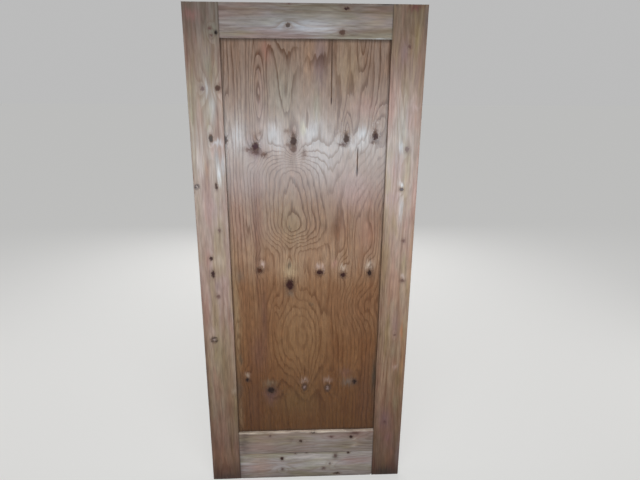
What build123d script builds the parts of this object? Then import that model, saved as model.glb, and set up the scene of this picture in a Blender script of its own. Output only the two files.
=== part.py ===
from build123d import *
import os

# A knotty pine door leaf with one plywood panel: two stiles, a top rail, and a deep bottom rail
# glued up from two boards. The rails join the stiles with stub tenons and dowels.
# Millimetres. +Z is up, X runs across the leaf, and the front face looks towards -Y.
# The origin is on the bottom edge, half way across the leaf and half way through its thickness.

# The leaf
door_width = 838.0
door_height = 1981.0
door_thickness = 44.0
arris_radius = 1.5

# Widths of the frame members, on the face of the door
stile_width = 122.0
top_rail_width = 113.0
upper_board_width = 110.5
lower_board_width = 134.0

# The panel, and the groove that holds its edges
panel_thickness = 18.0
panel_clearance = 0.25
panel_side_gap = 2.0
panel_top_gap = 2.0
groove_depth = 12.0

# Stub tenons on the rail ends, which fill the groove of the stiles
tenon_clearance = 0.1
tenon_end_gap = 1.0

# Tongue-and-groove edge joint between the two boards of the bottom rail
edge_tongue_thickness = 8.0
edge_tongue_height = 8.0
edge_joint_clearance = 0.1
edge_joint_end_gap = 0.8

# Fluted dowels, two in each end of each rail board
dowel_diameter = 12.0
dowel_length = 120.0
dowel_clearance = 0.1
dowel_relief = 2.0
dowel_edge_distance = 28.0
dowel_end_chamfer = 1.0
flute_count = 8
flute_width = 1.2
flute_depth = 0.5

# Faults in this leaf: an open knot, a length of wane on an arris, and worn bottom corners
knot_hole_width = 9.0
knot_hole_height = 12.0
knot_hole_depth = 8.0
knot_hole_narrowing = 2.0
knot_hole_from_joint = 10.5
knot_hole_above_opening = 17.0
wane_length = 50.0
wane_depth = 3.0
wane_from_shoulder = 26.0
broken_corner_radius = 14.0
foot_corner_radius = 5.0

# Lines that the pieces share
shoulder_x = door_width / 2 - stile_width
rail_length = 2 * shoulder_x
bottom_rail_top = lower_board_width + upper_board_width
top_rail_bottom = door_height - top_rail_width
opening_height = top_rail_bottom - bottom_rail_top
front_y = -door_thickness / 2
groove_width = panel_thickness + 2 * panel_clearance
tenon_length = groove_depth - tenon_end_gap
tenon_thickness = groove_width - 2 * tenon_clearance
edge_groove_depth = edge_tongue_height + edge_joint_end_gap
edge_groove_width = edge_tongue_thickness + 2 * edge_joint_clearance
through = 2 * door_thickness


def stile_section(beside_opening):
    """Section of the left stile: groove in its inner edge, and its inner arrises eased at the opening."""
    section = Rectangle(stile_width, door_thickness)
    corners = section.vertices()
    if not beside_opening:
        corners = corners.group_by(Axis.X)[0]
    section = fillet(corners, arris_radius)
    groove = Pos(stile_width / 2) * Rectangle(2 * groove_depth, groove_width)
    return Pos(-shoulder_x - stile_width / 2) * (section - groove)


def stile_blank():
    """The left stile before boring. It is square-edged where a rail butts against it."""
    beside_rail = stile_section(beside_opening=False)
    beside_panel = stile_section(beside_opening=True)
    foot = extrude(beside_rail, bottom_rail_top)
    middle = Pos(0, 0, bottom_rail_top) * extrude(beside_panel, opening_height)
    head = Pos(0, 0, top_rail_bottom) * extrude(beside_rail, top_rail_width)
    return foot + middle + head


def rail_section(width, eased_edges):
    """Section of a board on edge, as width by thickness, with the arrises of the named edges eased."""
    section = Rectangle(door_thickness, width)
    corner_pairs = section.vertices().group_by(Axis.Y)
    eased = [corner for edge in eased_edges for corner in corner_pairs[edge]]
    return fillet(eased, arris_radius)


def rail_board(section, low_z, width):
    """A board as long as the rail and its tenons, with both ends cut down to stub tenons."""
    length = rail_length + 2 * tenon_length
    board = Plane.YZ * section
    board = Pos(-length / 2, 0, low_z + width / 2) * extrude(board, length)
    cheek = Box(tenon_length, door_thickness, 2 * door_height)
    for end in (-1, 1):
        for face in (-1, 1):
            cheek_y = face * (tenon_thickness + door_thickness) / 2
            board -= Pos(end * (shoulder_x + tenon_length / 2), cheek_y) * cheek
    return board


def worn_corner(corner_x, outward, radius, overhang=0.0):
    """The wood missing from a bottom corner worn round, and from an overhang beyond that corner."""
    block = Pos(outward * (overhang - radius) / 2, radius / 2) * Rectangle(radius + overhang, radius)
    kept = Pos(-outward * radius, radius) * Circle(radius)
    return Pos(corner_x) * extrude(Plane.XZ * (block - kept), through / 2, both=True)


def dowel_heights(low_z, high_z):
    """Heights of the two dowels in the solid wood between low_z and high_z."""
    return {"lower": low_z + dowel_edge_distance, "upper": high_z - dowel_edge_distance}


def dowel():
    """A fluted dowel with chamfered ends, along X and centred on the origin."""
    pin = Rot(0, 90, 0) * Cylinder(dowel_diameter / 2, dowel_length)
    pin = chamfer(pin.edges().filter_by(GeomType.CIRCLE), dowel_end_chamfer)
    flute = Pos(0, 0, dowel_diameter / 2) * Box(dowel_length, flute_width, 2 * flute_depth)
    for turn in range(flute_count):
        pin -= Rot(360 * turn / flute_count, 0, 0) * flute
    return pin


def dowel_bore():
    """The hole for one dowel, shared by the rail end and the stile, along X."""
    length = dowel_length + 2 * dowel_relief
    return Rot(0, 90, 0) * Cylinder(dowel_diameter / 2 + dowel_clearance, length)


def knot_hole():
    """The hole that a fallen knot left in the front of the left stile, by the top rail's joint."""
    mouth = Ellipse(knot_hole_width / 2, knot_hole_height / 2)
    floor = Ellipse(knot_hole_width / 2 - knot_hole_narrowing, knot_hole_height / 2 - knot_hole_narrowing)
    pocket = Plane.XZ * loft([mouth, Pos(0, 0, -knot_hole_depth) * floor])
    centre_x = -shoulder_x - knot_hole_from_joint
    centre_z = top_rail_bottom + knot_hole_above_opening
    return Pos(centre_x, front_y, centre_z) * pocket


def wane():
    """Wood missing from the top front arris of the top rail, cut by a cylinder set across that arris."""
    radius = wane_length ** 2 / (8 * wane_depth) + wane_depth / 2
    across_arris = Rot(-45, 0, 0) * Cylinder(radius, through)
    outward = (radius - wane_depth) / 2 ** 0.5
    centre_x = shoulder_x - wane_from_shoulder
    return Pos(centre_x, front_y - outward, door_height + outward) * across_arris


def panel():
    """The plywood panel: it stands on the bottom rail's groove floor and is free at its sides and top."""
    width = rail_length + 2 * (groove_depth - panel_side_gap)
    height = opening_height + 2 * groove_depth - panel_top_gap
    sheet = Box(width, panel_thickness, height, align=(Align.CENTER, Align.CENTER, Align.MIN))
    return Pos(0, 0, bottom_rail_top - groove_depth) * sheet


# Sections of the rails: the panel groove, and the tongue and groove between the bottom boards
panel_groove = Rectangle(groove_width, 2 * groove_depth)
edge_groove = Rectangle(edge_groove_width, 2 * edge_groove_depth)
edge_tongue = Rectangle(edge_tongue_thickness, 2 * edge_tongue_height)

top_section = rail_section(top_rail_width, eased_edges=(0, -1)) - Pos(0, -top_rail_width / 2) * panel_groove
upper_section = rail_section(upper_board_width, eased_edges=(-1,)) - Pos(0, upper_board_width / 2) * panel_groove
upper_section -= Pos(0, -upper_board_width / 2) * edge_groove
lower_section = rail_section(lower_board_width, eased_edges=(0,)) + Pos(0, lower_board_width / 2) * edge_tongue

# The rails, with their faults
top_rail = rail_board(top_section, top_rail_bottom, top_rail_width) - wane()
upper_board = rail_board(upper_section, lower_board_width, upper_board_width)
lower_board = rail_board(lower_section, 0.0, lower_board_width)
lower_board -= worn_corner(shoulder_x, 1, broken_corner_radius, overhang=tenon_length)

# The stiles are a mirrored pair, apart from the open knot in the left one
left_stile = stile_blank() - worn_corner(-door_width / 2, -1, foot_corner_radius)
right_stile = mirror(left_stile, about=Plane.YZ)
left_stile -= knot_hole()

# Dowels and their bores, which stand in the same places
dowel_rows = {
    "top_rail": dowel_heights(top_rail_bottom + groove_depth, door_height),
    "upper_board": dowel_heights(lower_board_width, bottom_rail_top - groove_depth),
    "lower_board": dowel_heights(0.0, lower_board_width),
}
boards = {"top_rail": top_rail, "upper_board": upper_board, "lower_board": lower_board}
nodes = {}
for board_name, heights in dowel_rows.items():
    for level, height in heights.items():
        left_place = Pos(-shoulder_x, 0, height)
        right_place = Pos(shoulder_x, 0, height)
        nodes[f"{board_name}_dowel_left_{level}"] = left_place * dowel()
        nodes[f"{board_name}_dowel_right_{level}"] = right_place * dowel()
        boards[board_name] -= left_place * dowel_bore()
        boards[board_name] -= right_place * dowel_bore()
        left_stile -= left_place * dowel_bore()
        right_stile -= right_place * dowel_bore()

nodes["left_stile"] = left_stile
nodes["right_stile"] = right_stile
nodes["top_rail"] = boards["top_rail"]
nodes["bottom_rail_upper_board"] = boards["upper_board"]
nodes["bottom_rail_lower_board"] = boards["lower_board"]
nodes["panel"] = panel()

os.makedirs("parts", exist_ok=True)
for name, piece in nodes.items():
    export_step(piece, f"parts/{name}.step")
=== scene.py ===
import bmesh
import bpy
from math import exp, radians, pi
from mathutils import Matrix, Vector, noise


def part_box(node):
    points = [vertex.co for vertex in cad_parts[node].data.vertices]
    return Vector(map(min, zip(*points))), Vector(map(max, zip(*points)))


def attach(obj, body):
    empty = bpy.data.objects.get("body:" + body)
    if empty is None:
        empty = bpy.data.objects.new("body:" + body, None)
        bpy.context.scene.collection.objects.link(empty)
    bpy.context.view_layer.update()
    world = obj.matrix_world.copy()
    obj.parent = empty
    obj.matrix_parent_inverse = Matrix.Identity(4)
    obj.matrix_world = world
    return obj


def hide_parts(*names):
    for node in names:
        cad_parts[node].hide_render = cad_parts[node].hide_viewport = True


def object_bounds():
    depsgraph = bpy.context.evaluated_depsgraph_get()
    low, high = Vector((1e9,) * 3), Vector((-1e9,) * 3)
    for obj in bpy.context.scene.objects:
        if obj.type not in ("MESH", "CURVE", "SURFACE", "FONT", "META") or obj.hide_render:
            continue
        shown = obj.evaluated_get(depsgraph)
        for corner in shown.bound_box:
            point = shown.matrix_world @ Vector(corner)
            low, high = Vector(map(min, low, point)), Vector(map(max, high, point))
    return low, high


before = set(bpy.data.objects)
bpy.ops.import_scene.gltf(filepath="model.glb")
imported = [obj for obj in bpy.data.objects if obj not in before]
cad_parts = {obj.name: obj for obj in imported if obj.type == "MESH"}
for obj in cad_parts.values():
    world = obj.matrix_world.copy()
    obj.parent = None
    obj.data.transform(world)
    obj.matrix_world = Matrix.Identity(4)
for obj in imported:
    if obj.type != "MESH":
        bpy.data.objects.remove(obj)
cad_box = [list(corner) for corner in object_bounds()]
MM = 0.001


# The view: the leaf fills the height of the picture. It is seen from two metres in front of it, a little
# left of its middle and just under its top, with the lens tipped down towards its foot.
EYE_PLACE = Vector((-50.2, -2012.7, 1810.7)) * MM
EYE_TURN, EYE_TIP, EYE_LEAN = radians(-2.959), radians(18.97), radians(-0.475)
LENS_LENGTH, SENSOR_WIDTH, LENS_SHIFT = 30.512, 36.0, 0.0045


def placed(name, data):
    """A new object in the scene for a lens, a lamp or a mesh."""
    item = bpy.data.objects.new(name, data)
    bpy.context.scene.collection.objects.link(item)
    return item


lens = bpy.data.cameras.new("door_view")
lens.lens = LENS_LENGTH
lens.sensor_width = SENSOR_WIDTH
lens.shift_y = LENS_SHIFT
door_view = placed("door_view", lens)
door_view.matrix_world = (
    Matrix.Translation(EYE_PLACE)
    @ Matrix.Rotation(EYE_TURN, 4, "Z")
    @ Matrix.Rotation(pi / 2 - EYE_TIP, 4, "X")
    @ Matrix.Rotation(-EYE_LEAN, 4, "Z")
)
bpy.context.scene.camera = door_view


# The panel: one sheet of plywood whose face veneers were peeled from a log like paper from a roll, so the
# same knots come round again in three rows. It stands loose in the groove of the frame. It was varnished
# with the rest, and its face veneer has opened in two fine splits.
ACROSS, THROUGH, UP = 0, 1, 2


def in_mm(reach):
    """A length of the planned leaf in millimetres, without the last digits that its mesh rounds."""
    return round(reach / MM, 2)


# In millimetres: half thickness of the panel, and right side, bottom and top of the opening round it
PANEL_FACE = in_mm(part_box("panel")[1].y)
SHOULDER = in_mm(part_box("right_stile")[0].x)
LEDGE = in_mm(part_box("bottom_rail_upper_board")[1].z)
TOP_RAIL_LOW = in_mm(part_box("top_rail")[0].z)
PANEL_SPACING = 5.6 * MM
WELD_GAP, CUT_GAP = 0.01 * MM, 0.001 * MM
FLAT_ANGLE, SHARP_ANGLE = radians(0.4), radians(32)
VENEER_TONES = [
    (0.125, (0.158, 0.066, 0.019)),
    (0.225, (0.180, 0.078, 0.027)),
    (0.310, (0.236, 0.111, 0.046)),
    (0.460, (0.262, 0.140, 0.073)),
    (0.525, (0.338, 0.211, 0.134)),
    (0.610, (0.298, 0.189, 0.123)),
    (0.690, (0.284, 0.190, 0.146)),
    (0.755, (0.321, 0.240, 0.198)),
    (0.830, (0.317, 0.230, 0.181)),
    (0.910, (0.297, 0.206, 0.158)),
]
CLOUD_SHADE, STREAK_SHADE, SUMMER_SHADE = (0.92, 0.84, 0.78), (0.84, 0.77, 0.72), (0.49, 0.37, 0.29)
# Shades of the veneer's fine grain: bright dashes, dull dashes, fibres, pores
VENEER_SHADES = [(1.20, 1.18, 1.15), (0.83, 0.81, 0.79), (0.88, 0.84, 0.80), (0.5, 0.4, 0.34)]
KNOT_RIM = (0.085, 0.042, 0.026)
TAR, OXBLOOD, PLUM = (0.013, 0.002, 0.001), (0.026, 0.002, 0.002), (0.044, 0.010, 0.018)
RED_BROWN, DUSK_BROWN, FOX_BROWN = (0.058, 0.014, 0.003), (0.050, 0.022, 0.016), (0.088, 0.040, 0.028)
DRY_GREY, ASH_GREY, PALE_HEART = (0.080, 0.060, 0.052), (0.13, 0.11, 0.115), (0.25, 0.165, 0.145)
# Dirt and painted shade along the edges of the opening round the panel; dirt in the splits
EDGE_DIRT_AND_SHADE, SPLIT_DIRT = (0.060, 0.038, 0.026), (0.045, 0.020, 0.014)

# Upright rings of the face veneer: from and to across, rings between, share of them kept at the top
FACE_RAMPS = [
    (-320, -225, 6.0, 1.2),
    (-218, -160, 4.0, 0.4),
    (-150, 85, 1.8, 0.2),
    (85, 330, 14.0, 0.45),
]
# Ring hills of the face veneer: across, up, half width, half height, rings. The rings run round each one.
FACE_HILLS = [
    (-62, 1412, 112, 66, 4.8),
    (-62, 1302, 106, 100, 7.6),
    (-52, 1178, 100, 72, 6.6),
    (-187, 1460, 27, 40, -2.6),
    (-47, 1476, 27, 40, -2.8),
    (-66, 1040, 40, 66, 1.6),
    (-174, 1680, 24, 150, 4.0),
    (-288, 1640, 12, 60, 1.4),
    (-50, 1990, 90, 170, 4.2),
    (-75, 1690, 24, 90, 1.4),
    (205, 1880, 26, 130, -2.6),
    (282, 1590, 20, 60, 1.6),
    (-46, 705, 86, 165, 8.0),
    (-58, 700, 50, 110, -2.4),
    (0, 540, 30, 60, 1.6),
    (-128, 800, 12, 80, 1.6),
    (150, 1160, 26, 150, -2.0),
    (190, 1130, 18, 120, 1.4),
    (255, 1120, 24, 130, -2.0),
    (205, 850, 80, 84, 3.4),
    (-285, 690, 14, 90, 1.5),
    (-268, 850, 14, 70, -1.4),
    (-286, 350, 12, 70, 1.6),
]
# Knots of the face veneer: across, up, half width, half height, heart, rings round it. The pale ones
# lost their dark heart.
FACE_KNOTS = [
    (-296, 1521, 7, 11, ASH_GREY, 2.0),
    (-187, 1498, 11, 11, PLUM, 1.2),
    (-47, 1516, 10, 13, DUSK_BROWN, 1.0),
    (147, 1526, 9, 13, DUSK_BROWN, 2.2),
    (254, 1534, 8, 13, OXBLOOD, 2.2),
    (-185, 1008, 10, 9, RED_BROWN, 2.4),
    (-66, 944, 13, 20, OXBLOOD, 3.0),
    (54, 996, 10, 9, OXBLOOD, 1.4),
    (147, 984, 9, 10, OXBLOOD, 2.6),
    (253, 993, 8, 11, TAR, 2.4),
    (-250, 507, 7, 8, TAR, 2.0),
    (-151, 455, 14, 13, TAR, 2.4),
    (207, 488, 8, 11, TAR, 2.0),
]
FACE_PALE_KNOTS = [
    (-8, 466, 8, 14, PALE_HEART, 2.0),
    (91, 460, 9, 14, PALE_HEART, 2.0),
]
# A painted highlight: the pale blue reflection of the front lamp in the varnish, laid into the colour
PAINTED_SHEEN = (0.60, 0.63, 0.68)
PALE_WOOD = (0.62, 0.52, 0.44)
PALE_PINK = (0.56, 0.42, 0.38)
AMBER = (0.44, 0.30, 0.16)
RED_WOOD = (0.30, 0.13, 0.09)
DARK_RED = (0.13, 0.055, 0.040)
DARK_GREEN = (0.055, 0.048, 0.034)
BLACK = (0.02, 0.016, 0.016)
# Stains and clear places of the face veneer, with painted sheen and painted shade: across, up, half width,
# half height, colour, strength
FACE_STAINS_AND_SHEEN = [
    (-20, 690, 120, 280, AMBER, 0.16),
    (-215, 1500, 70, 50, (0.22, 0.15, 0.16), 0.14),
    (-215, 1350, 70, 60, (0.42, 0.36, 0.42), 0.12),
    (-215, 1200, 70, 80, (0.46, 0.36, 0.34), 0.15),
    (215, 1050, 60, 50, (0.22, 0.12, 0.08), 0.15),
    (215, 750, 60, 90, (0.15, 0.075, 0.045), 0.13),
    (-186, 1260, 16, 200, (0.20, 0.085, 0.060), 0.50),
    (-196, 1100, 5, 260, DARK_RED, 0.45),
    (-172, 800, 13, 130, DARK_RED, 0.60),
    (-200, 640, 36, 90, (0.16, 0.070, 0.055), 0.55),
    (-262, 1230, 30, 140, (0.36, 0.20, 0.15), 0.45),
    (-141, 1826, 18, 32, (0.38, 0.17, 0.13), 0.50),
    (-165, 1660, 12, 110, (0.33, 0.19, 0.16), 0.45),
    (-85, 1690, 48, 95, (0.30, 0.28, 0.22), 0.50),
    (8, 1800, 18, 80, (0.39, 0.24, 0.15), 0.50),
    (48, 1790, 20, 90, (0.26, 0.19, 0.21), 0.55),
    (150, 1770, 44, 90, (0.37, 0.26, 0.16), 0.60),
    (36, 1640, 14, 60, (0.30, 0.29, 0.21), 0.50),
    (215, 1640, 56, 40, (0.40, 0.22, 0.18), 0.50),
    (200, 1300, 80, 70, (0.36, 0.20, 0.165), 0.45),
    # Painted sheen: the pale blue rows are the varnish's reflection of the front lamp, laid into the colour
    (-252, 1534, 24, 36, PAINTED_SHEEN, 0.36),
    (-122, 1540, 30, 40, PAINTED_SHEEN, 0.48),
    (-98, 1500, 20, 24, PAINTED_SHEEN, 0.20),
    (20, 1545, 40, 50, PAINTED_SHEEN, 0.45),
    (-12, 1562, 10, 22, (0.58, 0.56, 0.40), 0.50),
    (60, 1445, 55, 70, PAINTED_SHEEN, 0.25),
    (206, 1538, 20, 28, PAINTED_SHEEN, 0.60),
    (170, 1500, 70, 24, PAINTED_SHEEN, 0.25),
    (170, 1340, 60, 60, (0.42, 0.30, 0.30), 0.30),
    (240, 1160, 40, 80, (0.33, 0.155, 0.11), 0.50),
    (140, 1180, 26, 70, (0.34, 0.17, 0.10), 0.50),
    (-60, 1200, 50, 90, (0.30, 0.22, 0.13), 0.45),
    (-283, 800, 14, 240, (0.34, 0.24, 0.14), 0.60),
    (-285, 330, 10, 70, (0.38, 0.25, 0.14), 0.50),
    (-172, 1032, 9, 14, PALE_PINK, 0.75),
    (-66, 1005, 30, 40, (0.50, 0.38, 0.24), 0.60),
    (46, 1018, 8, 14, PALE_PINK, 0.70),
    (66, 1018, 7, 12, PALE_PINK, 0.60),
    (112, 1030, 10, 20, (0.46, 0.24, 0.20), 0.50),
    (147, 1015, 12, 12, PALE_WOOD, 0.55),
    (250, 1022, 16, 20, PALE_WOOD, 0.60),
    (150, 1075, 7, 55, (0.24, 0.12, 0.05), 0.60),
    (208, 1010, 5, 40, (0.24, 0.11, 0.05), 0.50),
    (-66, 1035, 3, 26, BLACK, 0.55),
    (254, 1040, 3, 26, BLACK, 0.45),
    (-184, 1060, 4, 60, DARK_RED, 0.45),
    (-262, 985, 20, 22, (0.16, 0.13, 0.10), 0.45),
    (-60, 1185, 7, 6, DARK_GREEN, 0.45),
    (20, 862, 9, 5, DARK_GREEN, 0.55),
    (-66, 905, 14, 14, (0.20, 0.17, 0.14), 0.50),
    (-250, 528, 10, 12, PALE_WOOD, 0.45),
    (-154, 488, 26, 16, (0.26, 0.22, 0.16), 0.45),
    (-152, 438, 30, 22, (0.13, 0.065, 0.085), 0.60),
    (-151, 405, 20, 26, (0.15, 0.08, 0.09), 0.45),
    (-8, 498, 16, 12, PALE_PINK, 0.40),
    (91, 500, 16, 12, PALE_PINK, 0.40),
    (180, 488, 24, 18, (0.22, 0.19, 0.17), 0.55),
    (168, 535, 26, 18, (0.20, 0.10, 0.09), 0.45),
    (255, 420, 34, 170, DARK_RED, 0.30),
    (-225, 390, 30, 120, DARK_RED, 0.30),
    (-40, 400, 80, 60, (0.17, 0.11, 0.04), 0.30),
    (289, 515, 9, 90, DARK_GREEN, 0.80),
    (-275, 610, 7, 18, DARK_GREEN, 0.60),
    (-288, 470, 14, 60, (0.11, 0.085, 0.065), 0.50),
    (191, 1412, 4.0, 18, BLACK, 0.90),
    # Round the knots of the top row: the dark purple spots are painted shade where the sheen breaks, the
    # brown ones are the knots' tails
    (-187, 1478, 22, 22, (0.17, 0.09, 0.11), 0.60),
    (-195, 1508, 30, 26, (0.24, 0.15, 0.16), 0.40),
    (-187, 1530, 12, 26, (0.30, 0.17, 0.10), 0.45),
    (-47, 1547, 12, 18, (0.30, 0.17, 0.13), 0.50),
    (-47, 1490, 18, 14, (0.25, 0.16, 0.15), 0.45),
    (146, 1548, 16, 12, (0.30, 0.18, 0.10), 0.60),
    (140, 1508, 20, 7, (0.16, 0.10, 0.12), 0.50),
    (254, 1558, 5, 20, (0.20, 0.10, 0.06), 0.60),
    (252, 1516, 14, 7, (0.19, 0.13, 0.15), 0.50),
]
# Curls of grain beside the knots of the top row, whose colour is darkened as painted shade and whose
# varnish is duller: across, up, half width, half height, strength
FACE_CURLS = [
    (-187, 1478, 19, 14, 0.90),
    (-158, 1467, 13, 10, 0.85),
    (-213, 1486, 14, 7, 0.75),
    (-187, 1526, 8, 20, 0.45),
    (-168, 1545, 6, 12, 0.40),
    (-47, 1489, 12, 15, 0.80),
    (-47, 1541, 8, 12, 0.60),
    (-71, 1553, 11, 8, 0.55),
    (-70, 1503, 9, 6, 0.55),
    (-7, 1470, 8, 14, 0.50),
    (133, 1503, 14, 7, 0.90),
    (147, 1548, 11, 7, 0.50),
    (248, 1512, 11, 6, 0.70),
    (254, 1556, 5, 14, 0.70),
]
CURL_PAINTED_SHADE = (0.40, 0.28, 0.25)
# Splits of the face veneer: across, from and to up, half width, depth
FACE_SPLITS = [
    (90, 1640, 1890, 2.4, 1.3),
    (191, 1380, 1500, 1.6, 1.1),
]
# Places of the face veneer where the rings hardly show: across, up, half width, half height, share lost
FACE_CALM = [
    (200, 1390, 110, 130, 0.60),
    (60, 1680, 70, 120, 0.40),
    (30, 1050, 50, 50, 0.70),
    (-45, 745, 62, 90, 0.55),
    (-30, 340, 200, 60, 0.40),
    (-120, 1000, 60, 30, 0.50),
]
# The same for the back, whose veneer is from another log
BACK_RAMPS = [
    (-320, -80, 15.0, 0.7),
    (110, 320, 9.0, 1.3),
]
BACK_HILLS = [
    (25, 1560, 88, 170, 8.0),
    (34, 1300, 70, 190, 6.0),
    (-20, 700, 96, 230, 9.0),
    (20, 460, 60, 150, 4.0),
    (-200, 1150, 40, 200, -3.0),
    (210, 900, 50, 260, 3.5),
]
BACK_KNOTS = [
    (-118, 1418, 10, 13, PLUM, 2.4),
    (176, 1402, 8, 10, DUSK_BROWN, 2.2),
    (-122, 868, 12, 14, OXBLOOD, 2.4),
    (92, 842, 8, 9, RED_BROWN, 2.0),
    (180, 861, 9, 12, TAR, 2.2),
    (-110, 352, 9, 12, OXBLOOD, 2.2),
    (178, 330, 11, 12, TAR, 2.4),
]
BACK_STAINS = [
    (-118, 1448, 16, 20, PALE_PINK, 0.50),
    (-122, 900, 16, 22, PALE_WOOD, 0.45),
    (180, 890, 14, 18, PALE_PINK, 0.45),
    (-40, 1000, 60, 260, (0.30, 0.20, 0.12), 0.30),
    (215, 620, 26, 300, RED_WOOD, 0.35),
    (-250, 1500, 24, 300, (0.34, 0.25, 0.16), 0.35),
    (60, 300, 200, 46, DARK_RED, 0.35),
]
PLY_COUNT = 9
PLY_LIGHT, PLY_DARK = (0.50, 0.34, 0.20), (0.26, 0.15, 0.085)
PLY_FIBRE, PLY_GLUE = (0.70, 0.62, 0.55), (0.07, 0.035, 0.02)
VENEER_RELIEF, SAWN_RELIEF = 1.0 * MM, 0.3 * MM


def cut_at(net, axis, places):
    """Cuts a board through at the given places along one axis, in metres."""
    direction = Vector()
    direction[axis] = 1.0
    for place in places:
        bmesh.ops.bisect_plane(
            net,
            geom=net.verts[:] + net.edges[:] + net.faces[:],
            dist=CUT_GAP,
            plane_co=direction * place,
            plane_no=direction,
        )


def even_steps(low, high, spacing):
    """Places from low to high, in metres, about a spacing apart."""
    count = max(1, round((high - low) / spacing))
    return [low + (high - low) * step / count for step in range(1, count)]


def divide_runs(net, axis, spacing):
    """Divides every edge that runs along one axis into even lengths of about the spacing."""
    runs = {}
    for edge in net.edges:
        reach = edge.verts[0].co - edge.verts[1].co
        cuts = round(abs(reach[axis]) / spacing) - 1
        if cuts > 0 and abs(reach[axis]) > 0.999 * reach.length:
            runs.setdefault(cuts, []).append(edge)
    for cuts, edges in runs.items():
        bmesh.ops.subdivide_edges(net, edges=edges, cuts=cuts, use_grid_fill=True)


def board_net(node_name):
    """A merged copy of a planned board, with its flat faces in one piece each."""
    net = bmesh.new()
    net.from_mesh(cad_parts[node_name].data)
    bmesh.ops.remove_doubles(net, verts=net.verts, dist=WELD_GAP)
    bmesh.ops.dissolve_limit(net, angle_limit=FLAT_ANGLE, verts=net.verts, edges=net.edges)
    return net


def finished_board(net, piece_name, node_name, materials):
    """Turns a worked net into the piece that is shown in place of its planned board."""
    bmesh.ops.triangulate(net, faces=[face for face in net.faces if len(face.verts) > 4])
    for face in net.faces:
        face.smooth = True
    for edge in net.edges:
        edge.smooth = edge.calc_face_angle(0.0) < SHARP_ANGLE
    mesh = bpy.data.meshes.new(piece_name)
    net.to_mesh(mesh)
    net.free()
    piece = placed(piece_name, mesh)
    for material in materials:
        mesh.materials.append(material)
    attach(piece, "root")
    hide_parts(node_name)


def joined(node, inputs):
    """A node with each input set to a value or joined to the output of another node."""
    for socket, value in inputs.items():
        if isinstance(value, bpy.types.NodeSocket):
            node.id_data.links.new(value, node.inputs[socket])
        else:
            node.inputs[socket].default_value = value
    return node


def new_node(kind, inputs, **settings):
    """A new node in the finish that its first joined input is part of, with its settings and inputs."""
    sockets = [value for value in inputs.values() if isinstance(value, bpy.types.NodeSocket)]
    node = sockets[0].id_data.nodes.new(kind)
    for setting, value in settings.items():
        setattr(node, setting, value)
    return joined(node, inputs)


def maths(operation, *values):
    """One sum on numbers or on the outputs of other nodes."""
    return new_node("ShaderNodeMath", dict(enumerate(values)), operation=operation).outputs[0]


def times(value, factor):
    """A value times another."""
    return maths("MULTIPLY", value, factor)


def scaled(value, factor, extra):
    """A value times another, plus a third."""
    return maths("MULTIPLY_ADD", value, factor, extra)


def shaped(value, low, high, smooth=True):
    """0 where the value is at low or under it, 1 where it is at high or over it."""
    inputs = {"Value": value, "From Min": low, "From Max": high}
    slope = "SMOOTHSTEP" if smooth else "LINEAR"
    return new_node("ShaderNodeMapRange", inputs, interpolation_type=slope).outputs[0]


def moved(place, scale, offset):
    """A place on the board, scaled and then moved."""
    inputs = {0: place, 1: scale, 2: offset}
    return new_node("ShaderNodeVectorMath", inputs, operation="MULTIPLY_ADD").outputs[0]


def measured(place, direction):
    """How far the place lies along a direction, in metres."""
    inputs = {0: place, 1: direction}
    return new_node("ShaderNodeVectorMath", inputs, operation="DOT_PRODUCT").outputs["Value"]


def grain_noise(place, scale, offset, detail=2.0, roughness=0.5, output=0):
    """Uneven noise from 0 to 1, stretched by its three scales per metre."""
    inputs = {"Vector": moved(place, scale, offset), "Scale": 1.0}
    inputs |= {"Detail": detail, "Roughness": roughness}
    return new_node("ShaderNodeTexNoise", inputs).outputs[output]


def spot_distance(place, spot):
    """Distance from the middle of a spot on the face, counted in its own half sizes."""
    across, up, half_width, half_height = spot[:4]
    scale = (1 / (half_width * MM), 0, 1 / (half_height * MM))
    from_middle = moved(place, scale, (-across / half_width, 0, -up / half_height))
    return new_node("ShaderNodeVectorMath", {0: from_middle}, operation="LENGTH").outputs["Value"]


def soft_spot(place, spot):
    """1 in the middle of a spot on the face, fading softly to 0 round its half sizes."""
    distance = spot_distance(place, spot)
    return maths("POWER", exp(-1), times(distance, distance))


def nearest_spot(place, spots):
    """Distance from the nearest of several spots, counted in its half sizes."""
    nearest = spot_distance(place, spots[0])
    for spot in spots[1:]:
        nearest = maths("MINIMUM", nearest, spot_distance(place, spot))
    return nearest


def tinted(amount, under, over, blend="MIX"):
    """One colour laid over another by an amount."""
    under, over = [(*colour, 1.0) if isinstance(colour, tuple) else colour for colour in (under, over)]
    inputs = {0: amount, 6: under, 7: over}
    return new_node("ShaderNodeMix", inputs, data_type="RGBA", blend_type=blend).outputs[2]


def shaded(body, value, low, high, shade):
    """The wood colour, multiplied by a shade where the value has come from low to high."""
    return tinted(shaped(value, low, high), body, shade, "MULTIPLY")


def laid(body, value, low, high, share, colour):
    """The wood colour under a share of another colour, where the value has come from low to high."""
    amount = times(shaped(value, low, high), share)
    return tinted(amount, body, colour)


def stained_and_sheened(place, body, stains_and_sheen, front=None):
    """The wood colour with each stain, painted sheen and painted shade laid over it, on the front alone
    where a front share is given.
    """
    for *spot, colour, amount in stains_and_sheen:
        patch = times(soft_spot(place, spot), amount)
        if front is not None:
            patch = times(patch, front)
        body = tinted(patch, body, colour)
    return body


def toned(value, tones):
    """A colour that changes along a board; the tones stand at shares of two metres."""
    ramp = new_node("ShaderNodeValToRGB", {0: times(value, 0.5)})
    ramp.color_ramp.interpolation = "EASE"
    while len(ramp.color_ramp.elements) < len(tones):
        ramp.color_ramp.elements.new(0.5)
    for element, (position, colour) in zip(ramp.color_ramp.elements, tones):
        element.position = position
        element.color = (*colour, 1.0)
    return ramp.outputs[0]


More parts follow.
